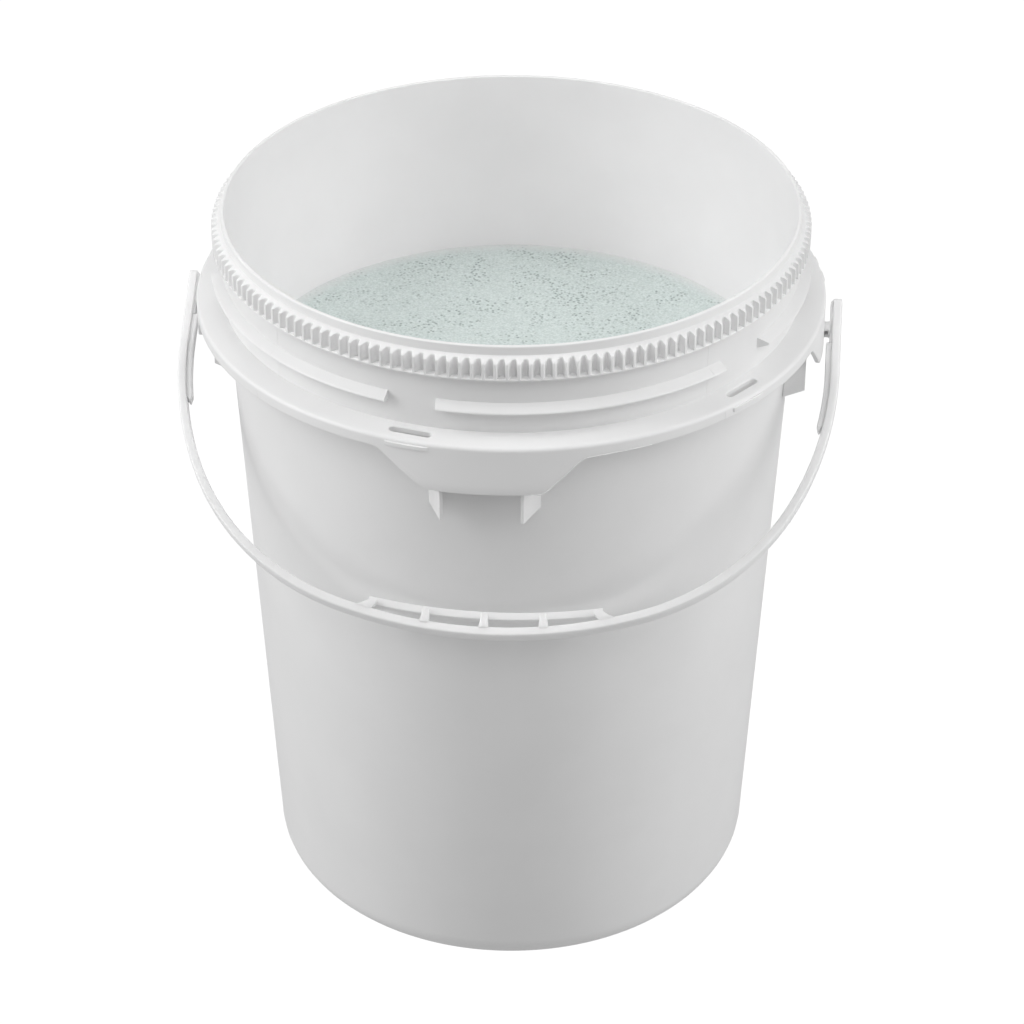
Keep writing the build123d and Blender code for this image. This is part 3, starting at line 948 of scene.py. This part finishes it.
def rungTree():
    tree, given = startTree("rungsAlongRail", {"Count": "Int", "Spacing": "Float", "Rail Centre": "Float",
                                               "Rail Radius": "Float", "Material": "Material"})
    points = addNode(tree, "GeometryNodePoints", {}, {"Count": given["Count"]}).outputs[0]
    index = addNode(tree, "GeometryNodeInputIndex").outputs[0]
    last = addNode(tree, "ShaderNodeMath", {"operation": "SUBTRACT", 1: 1.0}, {0: given["Count"]}).outputs[0]
    half = addNode(tree, "ShaderNodeMath", {"operation": "MULTIPLY", 1: 0.5}, {0: last}).outputs[0]
    place = addNode(tree, "ShaderNodeMath", {"operation": "SUBTRACT"}, {0: index, 1: half}).outputs[0]
    across = addNode(tree, "ShaderNodeMath", {"operation": "MULTIPLY"},
                     {0: place, 1: given["Spacing"]}).outputs[0]
    share = addNode(tree, "ShaderNodeMath", {"operation": "DIVIDE"},
                    {0: across, 1: given["Rail Radius"]}).outputs[0]
    lean = addNode(tree, "ShaderNodeMath", {"operation": "ARCSINE"}, {0: share}).outputs[0]
    drop = addNode(tree, "ShaderNodeMath", {"operation": "COSINE"}, {0: lean}).outputs[0]
    rise = addNode(tree, "ShaderNodeMath", {"operation": "MULTIPLY"},
                   {0: drop, 1: given["Rail Radius"]}).outputs[0]
    out = addNode(tree, "ShaderNodeMath", {"operation": "ADD"}, {0: rise, 1: given["Rail Centre"]}).outputs[0]
    spot = addNode(tree, "ShaderNodeCombineXYZ", {}, {"X": across, "Y": out}).outputs[0]
    placed = addNode(tree, "GeometryNodeSetPosition", {}, {"Geometry": points, "Position": spot}).outputs[0]
    back = addNode(tree, "ShaderNodeMath", {"operation": "MULTIPLY", 1: -1.0}, {0: lean}).outputs[0]
    turn = addNode(tree, "ShaderNodeCombineXYZ", {}, {"Z": back}).outputs[0]
    rungs = addNode(tree, "GeometryNodeInstanceOnPoints", {},
                    {"Points": placed, "Instance": given["Geometry"], "Rotation": turn})
    endTree(tree, rungs.outputs[0], given["Material"])
    return tree


def gripRungs():
    # one rung, from the rail's middle to the strap, with a rounded ridge down each side of its top
    length = strapY(0, bail["thickness"] - 0.5) - grip["reach"] - grip["rungSet"]
    top = grip["top"] + grip["rungRidge"]
    rings = []
    for k in range(9):
        y = length * k / 8
        share = (k / 8) ** 2
        half = (grip["rungRail"] + (grip["rungStrap"] - grip["rungRail"]) * share) / 2
        low = grip["top"] - grip["rungThickness"]
        rings.append([(x * half, y, z) for x, z in (
            (-0.9, low), (-1, low + 0.6), (-1, top - 1.2), (-0.86, top - 0.45), (-0.6, top - 0.08),
            (-0.35, top - 0.05), (0, top - 0.35), (0.35, top - 0.05), (0.6, top - 0.08), (0.86, top - 0.45),
            (1, top - 1.2), (1, low + 0.6), (0.9, low))])
    piece = tidyMesh(loft("gripRungs", rings), 50)
    settleTree(piece, rungTree(), {
        "Count": grip["rungs"], "Spacing": grip["rungSpacing"] * mm, "Material": bailPlastic,
        "Rail Radius": (grip["radius"] + grip["rungSet"]) * mm,
        "Rail Centre": (grip["reach"] - grip["radius"]) * mm})
    return layBail(tidyMesh(piece, 50))


finishPiece(gripRail(), "bail", "bail_plastic", bailPlastic, "grip_rail")
finishPiece(gripWebs(), "bail", "bail_plastic", bailPlastic, "grip_webs")
finishPiece(gripRungs(), "bail", "bail_plastic", bailPlastic, "grip_rungs")
print("grip made")


# stage: floor, the foamy brew that shows in the mouth, world, lights and camera
studio = {"white": 1.05, "floorGlow": 0.54, "floorHalf": 12000, "floorDrop": 1}


def stageFloor():
    half, drop = studio["floorHalf"], studio["floorDrop"]
    corners = [(-half, -half, -drop), (half, -half, -drop), (half, half, -drop), (-half, half, -drop)]
    floor = meshPiece("floor", corners, [(0, 1, 2, 3)])
    # a lit white paper sweep: plain white behind the bucket, and a softer glow on it from below
    material, tree = startMaterial("whitePaperSweep")
    seen = addNode(tree, "ShaderNodeLightPath").outputs["Is Camera Ray"]
    glow = addNode(tree, "ShaderNodeEmission", {"Strength": studio["floorGlow"]}).outputs[0]
    white = addNode(tree, "ShaderNodeEmission", {"Strength": studio["white"]}).outputs[0]
    mixed = addNode(tree, "ShaderNodeMixShader", {}, {0: seen, 1: glow, 2: white}).outputs[0]
    addNode(tree, "ShaderNodeOutputMaterial", {}, {"Surface": mixed})
    floor.data.materials.append(material)


brew = {
    "depth": 105.0,
    "light": "#dce5e3",
    "deep": "#c6d1ce",
    "speck": "#98a5a2",
    "edge": "#dfe2e1",
    "bounce": "#e6e7e7",  # what the froth throws back on the wall
    "bubble": 2.3,  # mm
    "froth": 1.1,  # mm, finer than this in a real head, drawn coarser so that it shows
    "patch": 14.0,  # mm
    "fringe": 9.0,  # mm
    "fringeReach": 6.0,  # mm past the wall, so that the fringe stays broken
    "ragged": 12.0,  # mm that the froth's noise moves the fringe
    "sides": 120,
}


def foamyBrew(radius):
    # the head on a young brew: matt, milky green-grey froth, with pinholes where bubbles have burst
    material, tree = startMaterial("foamyBrew")
    where = addNode(tree, "ShaderNodeTexCoord").outputs["Object"]
    bubbles = addNode(tree, "ShaderNodeTexVoronoi", {"Scale": perMetre(brew["bubble"])}, {"Vector": where})
    froth = addNode(tree, "ShaderNodeTexNoise", {"Scale": perMetre(brew["froth"]), "Detail": 3.0},
                    {"Vector": where})
    patch = addNode(tree, "ShaderNodeTexNoise", {"Scale": perMetre(brew["patch"]), "Detail": 4.0},
                    {"Vector": where})
    fine = addNode(tree, "ShaderNodeMapRange", {"From Min": 0.35, "From Max": 0.65}, {"Value": froth.outputs[0]})
    tint = addNode(tree, "ShaderNodeMix", {"data_type": "RGBA", 6: hexColour(brew["light"]),
                                           7: hexColour(brew["deep"])}, {0: fine.outputs[0]})
    # dark pinholes in loose patches
    holes = addNode(tree, "ShaderNodeMapRange", {"From Min": 0.42, "From Max": 0.2},
                    {"Value": bubbles.outputs[0]})
    loose = addNode(tree, "ShaderNodeMapRange", {"From Min": 0.42, "From Max": 0.62},
                    {"Value": patch.outputs[0]})
    burst = addNode(tree, "ShaderNodeMath", {"operation": "MULTIPLY"},
                    {0: holes.outputs[0], 1: loose.outputs[0]})
    pitted = addNode(tree, "ShaderNodeMix", {"data_type": "RGBA", 7: hexColour(brew["speck"])},
                     {0: burst.outputs[0], 6: tint.outputs[2]})
    # a paler fringe of clinging froth along the wall, broken by the same noise
    flat = addNode(tree, "ShaderNodeVectorMath", {"operation": "MULTIPLY", 1: (1, 1, 0)}, {0: where}).outputs[0]
    out = addNode(tree, "ShaderNodeVectorMath", {"operation": "LENGTH"}, {0: flat}).outputs["Value"]
    ragged = addNode(tree, "ShaderNodeMath", {"operation": "MULTIPLY_ADD", 1: brew["ragged"] * mm},
                     {0: froth.outputs[0], 2: out})
    rim = (radius + brew["fringeReach"]) * mm
    fringe = addNode(tree, "ShaderNodeMapRange", {"From Min": rim - brew["fringe"] * mm, "From Max": rim},
                     {"Value": ragged.outputs[0]})
    tinted = addNode(tree, "ShaderNodeMix", {"data_type": "RGBA", 7: hexColour(brew["edge"])},
                     {0: fringe.outputs[0], 6: pitted.outputs[2]})
    bump = addNode(tree, "ShaderNodeBump", {"Strength": 0.5, "Distance": 1 * mm}, {"Height": bubbles.outputs[0]})
    shader = addNode(tree, "ShaderNodeBsdfPrincipled", {"Roughness": 0.5, "IOR": 1.34},
                     {"Base Color": tinted.outputs[2], "Normal": bump.outputs[0]})
    pale = addNode(tree, "ShaderNodeBsdfDiffuse", {"Color": hexColour(brew["bounce"])}).outputs[0]
    seen = addNode(tree, "ShaderNodeLightPath").outputs["Is Camera Ray"]
    mixed = addNode(tree, "ShaderNodeMixShader", {}, {0: seen, 1: pale, 2: shader.outputs[0]}).outputs[0]
    addNode(tree, "ShaderNodeOutputMaterial", {}, {"Surface": mixed})
    return material


def stageBrew():
    count = brew["sides"]
    radius = innerRadius(brew["depth"]) + 0.3
    rings = [[atAzimuth(radius * share, k * 360 / count, brew["depth"]) for k in range(count)]
             for share in (1, 0.8, 0.5, 0.2, 0.01)]
    points, faces = bridge(rings)
    faces.append(tuple(range(len(points) - count, len(points))))
    surface = meshPiece("brew", points, faces)
    surface.data.materials.append(foamyBrew(radius))


stageFloor()
stageBrew()

world = bpy.data.worlds.new("studio")
world.use_nodes = True
bpy.context.scene.world = world
worldTree = world.node_tree
worldTree.nodes.clear()
seenDirect = addNode(worldTree, "ShaderNodeLightPath").outputs["Is Camera Ray"]
plain = addNode(worldTree, "ShaderNodeBackground",
                {"Color": (1, 1, 1, 1), "Strength": studio["white"]}).outputs[0]
# only the camera sees the white world; the lights and the floor do the lighting
mixedWorld = addNode(worldTree, "ShaderNodeMixShader", {}, {0: seenDirect, 2: plain}).outputs[0]
addNode(worldTree, "ShaderNodeOutputWorld", {}, {"Surface": mixedWorld})

softBox = {"distance": 2.2, "size": 1.5, "aim": 0.2}  # metres
softBoxes = {  # azimuth from the camera's side and elevation in degrees, watts
    "leftHigh": (-80, 38, 22.9), "rightHigh": (80, 38, 17.8), "leftLow": (-80, 12, 11.5),
    "rightLow": (80, 12, 10.9), "behind": (-165, 62, 9.7), "above": (0, 88, 5.6), "frontTop": (0, 62, 6.3),
    "front": (0, 38, 4.2), "frontRight": (40, 38, 3.8),
}
view = {"azimuth": 5.2, "elevation": 33.08, "distance": 1.8187, "aim": 0.2133, "lens": 114.97, "sensor": 36,
        "shift": 0.0007}


def placeAround(name, data, azimuth, elevation, distance, aim):
    # looks at a point on the bucket's axis, aim metres up
    thing = bpy.data.objects.new(name, data)
    bpy.context.scene.collection.objects.link(thing)
    turn, lift = math.radians(azimuth), math.radians(elevation)
    away = Vector((math.sin(turn) * math.cos(lift), -math.cos(turn) * math.cos(lift), math.sin(lift)))
    thing.location = Vector((0, 0, aim)) + away * distance
    thing.rotation_euler = away.to_track_quat("Z", "Y").to_euler()
    return thing


for name, (azimuth, elevation, watts) in softBoxes.items():
    data = bpy.data.lights.new(name, "AREA")
    data.shape, data.size, data.energy = "DISK", softBox["size"], watts
    light = placeAround(name, data, azimuth + view["azimuth"], elevation, softBox["distance"], softBox["aim"])
    light.visible_camera = False

cameraData = bpy.data.cameras.new("camera")
cameraData.lens, cameraData.sensor_width, cameraData.shift_x = view["lens"], view["sensor"], view["shift"]
bpy.context.scene.camera = placeAround("camera", cameraData, view["azimuth"], view["elevation"],
                                       view["distance"], view["aim"])
bpy.context.scene.view_settings.view_transform = "Standard"
print("stage, light and camera set")
